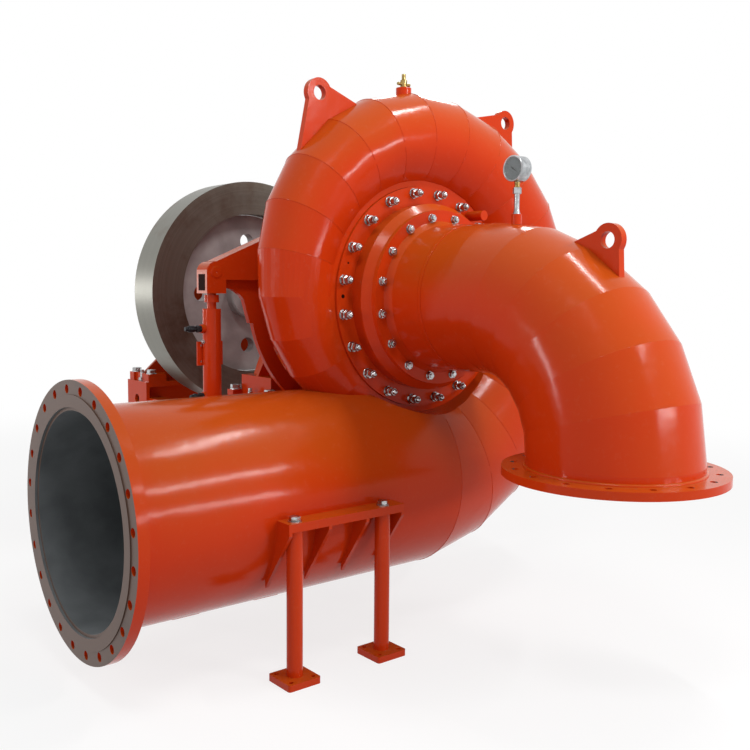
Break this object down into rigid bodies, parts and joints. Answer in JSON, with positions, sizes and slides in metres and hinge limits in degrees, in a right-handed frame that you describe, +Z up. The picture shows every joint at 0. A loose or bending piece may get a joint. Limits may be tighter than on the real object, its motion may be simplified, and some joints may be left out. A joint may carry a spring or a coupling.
{
  "type": "horizontal mixed-flow water turbine",
  "caption": "Horizontal water turbine with spiral casing, draft elbow, flywheel on a shaft between bearing stands, and a servomotor that swings the gate ring.",
  "frame": {"origin": "on the floor under the shaft, at the middle of the anchor bolts of the bearing base", "axes": "+Y along the shaft from the draft tube to the coupling, +X from the inlet flange to the far side, +Z up"},
  "size_m": [2.5343, 3.6446, 2.377],
  "materials": {
    "orange_enamel": "gloss enamel over primer",
    "bare_steel": "machined, lightly stained",
    "gauge_steel": "black enamelled case, white dial behind glass",
    "brass": "turned brass, dulled"
  },
  "bodies": {
    "machine": {"inlet_flange": "orange_enamel", "inlet_pipe": "orange_enamel", "spiral_casing": "orange_enamel", "stay_ring": "orange_enamel", "front_cover": "orange_enamel", "draft_collar": "orange_enamel", "elbow_upper": "orange_enamel", "elbow_lower": "orange_enamel", "draft_flange": "orange_enamel", "casing_lug_left": "orange_enamel", "casing_lug_right": "orange_enamel", "elbow_lug": "orange_enamel", "rear_cover": "orange_enamel", "ring_shoes": "orange_enamel", "servo_bracket": "orange_enamel", "base_frame": "orange_enamel", "base_posts": "orange_enamel", "front_stand": "orange_enamel", "rear_stand": "orange_enamel", "front_bearing": "orange_enamel", "rear_bearing": "orange_enamel", "pipe_bracket_near": "orange_enamel", "pipe_bracket_far": "orange_enamel", "pipe_posts_near": "orange_enamel", "pipe_posts_far": "orange_enamel", "pressure_gauge": "gauge_steel", "air_cock": "brass"},
    "rotor": {"shaft": "bare_steel", "flywheel": "bare_steel", "runner": "bare_steel"},
    "gate_ring": {"regulating_ring": "orange_enamel", "regulating_arm": "orange_enamel", "yoke_pin": "bare_steel"},
    "barrel": {"servo_barrel": "orange_enamel"},
    "rod": {"servo_rod": "orange_enamel"},
    "gate_01": {"gate_lever_01": "orange_enamel"},
    "gate_02": {"gate_lever_02": "orange_enamel"},
    "gate_03": {"gate_lever_03": "orange_enamel"},
    "gate_04": {"gate_lever_04": "orange_enamel"},
    "gate_05": {"gate_lever_05": "orange_enamel"},
    "gate_06": {"gate_lever_06": "orange_enamel"},
    "gate_07": {"gate_lever_07": "orange_enamel"},
    "gate_08": {"gate_lever_08": "orange_enamel"},
    "gate_09": {"gate_lever_09": "orange_enamel"},
    "gate_10": {"gate_lever_10": "orange_enamel"},
    "gate_11": {"gate_lever_11": "orange_enamel"},
    "gate_12": {"gate_lever_12": "orange_enamel"}
  },
  "joints": [
    {"name": "rotor_spin", "type": "hinge", "parent": "machine", "child": "rotor", "pos_m": [0, 0, 1.4], "axis": [0, 1, 0], "continuous": true},
    {"name": "ring_swing", "type": "hinge", "parent": "machine", "child": "gate_ring", "pos_m": [0, -0.878, 1.4], "axis": [0, 1, 0], "range_deg": [0, 8]},
    {"name": "barrel_tilt", "type": "hinge", "parent": "machine", "child": "barrel", "pos_m": [-0.781, -0.878, 0.905], "axis": [0, 1, 0], "range_deg": [0, 1.75]},
    {"name": "rod_slide", "type": "slide", "parent": "barrel", "child": "rod", "axis": [0, 0, 1], "range_m": [0, 0.109]},
    {"name": "gate_swing_01", "type": "hinge", "parent": "machine", "child": "gate_01", "pos_m": [0.31, -0.919, 1.4], "axis": [0, 1, 0], "range_deg": [0, 33]},
    {"name": "gate_swing_02", "type": "hinge", "parent": "machine", "child": "gate_02", "pos_m": [0.26847, -0.919, 1.555], "axis": [0, 1, 0], "range_deg": [0, 33]},
    {"name": "gate_swing_03", "type": "hinge", "parent": "machine", "child": "gate_03", "pos_m": [0.155, -0.919, 1.66847], "axis": [0, 1, 0], "range_deg": [0, 33]},
    {"name": "gate_swing_04", "type": "hinge", "parent": "machine", "child": "gate_04", "pos_m": [0, -0.919, 1.71], "axis": [0, 1, 0], "range_deg": [0, 33]},
    {"name": "gate_swing_05", "type": "hinge", "parent": "machine", "child": "gate_05", "pos_m": [-0.155, -0.919, 1.66847], "axis": [0, 1, 0], "range_deg": [0, 33]},
    {"name": "gate_swing_06", "type": "hinge", "parent": "machine", "child": "gate_06", "pos_m": [-0.26847, -0.919, 1.555], "axis": [0, 1, 0], "range_deg": [0, 33]},
    {"name": "gate_swing_07", "type": "hinge", "parent": "machine", "child": "gate_07", "pos_m": [-0.31, -0.919, 1.4], "axis": [0, 1, 0], "range_deg": [0, 33]},
    {"name": "gate_swing_08", "type": "hinge", "parent": "machine", "child": "gate_08", "pos_m": [-0.26847, -0.919, 1.245], "axis": [0, 1, 0], "range_deg": [0, 33]},
    {"name": "gate_swing_09", "type": "hinge", "parent": "machine", "child": "gate_09", "pos_m": [-0.155, -0.919, 1.13153], "axis": [0, 1, 0], "range_deg": [0, 33]},
    {"name": "gate_swing_10", "type": "hinge", "parent": "machine", "child": "gate_10", "pos_m": [0, -0.919, 1.09], "axis": [0, 1, 0], "range_deg": [0, 33]},
    {"name": "gate_swing_11", "type": "hinge", "parent": "machine", "child": "gate_11", "pos_m": [0.155, -0.919, 1.13153], "axis": [0, 1, 0], "range_deg": [0, 33]},
    {"name": "gate_swing_12", "type": "hinge", "parent": "machine", "child": "gate_12", "pos_m": [0.26847, -0.919, 1.245], "axis": [0, 1, 0], "range_deg": [0, 33]}
  ],
  "couplings": [
    {"joint": "barrel_tilt", "follows": "ring_swing", "ratio": 0.2181},
    {"joint": "rod_slide", "follows": "ring_swing", "m_per_rad": 0.77393},
    {"joint": "gate_swing_01", "follows": "ring_swing", "ratio": 4.05},
    {"joint": "gate_swing_02", "follows": "ring_swing", "ratio": 4.05},
    {"joint": "gate_swing_03", "follows": "ring_swing", "ratio": 4.05},
    {"joint": "gate_swing_04", "follows": "ring_swing", "ratio": 4.05},
    {"joint": "gate_swing_05", "follows": "ring_swing", "ratio": 4.05},
    {"joint": "gate_swing_06", "follows": "ring_swing", "ratio": 4.05},
    {"joint": "gate_swing_07", "follows": "ring_swing", "ratio": 4.05},
    {"joint": "gate_swing_08", "follows": "ring_swing", "ratio": 4.05},
    {"joint": "gate_swing_09", "follows": "ring_swing", "ratio": 4.05},
    {"joint": "gate_swing_10", "follows": "ring_swing", "ratio": 4.05},
    {"joint": "gate_swing_11", "follows": "ring_swing", "ratio": 4.05},
    {"joint": "gate_swing_12", "follows": "ring_swing", "ratio": 4.05}
  ]
}
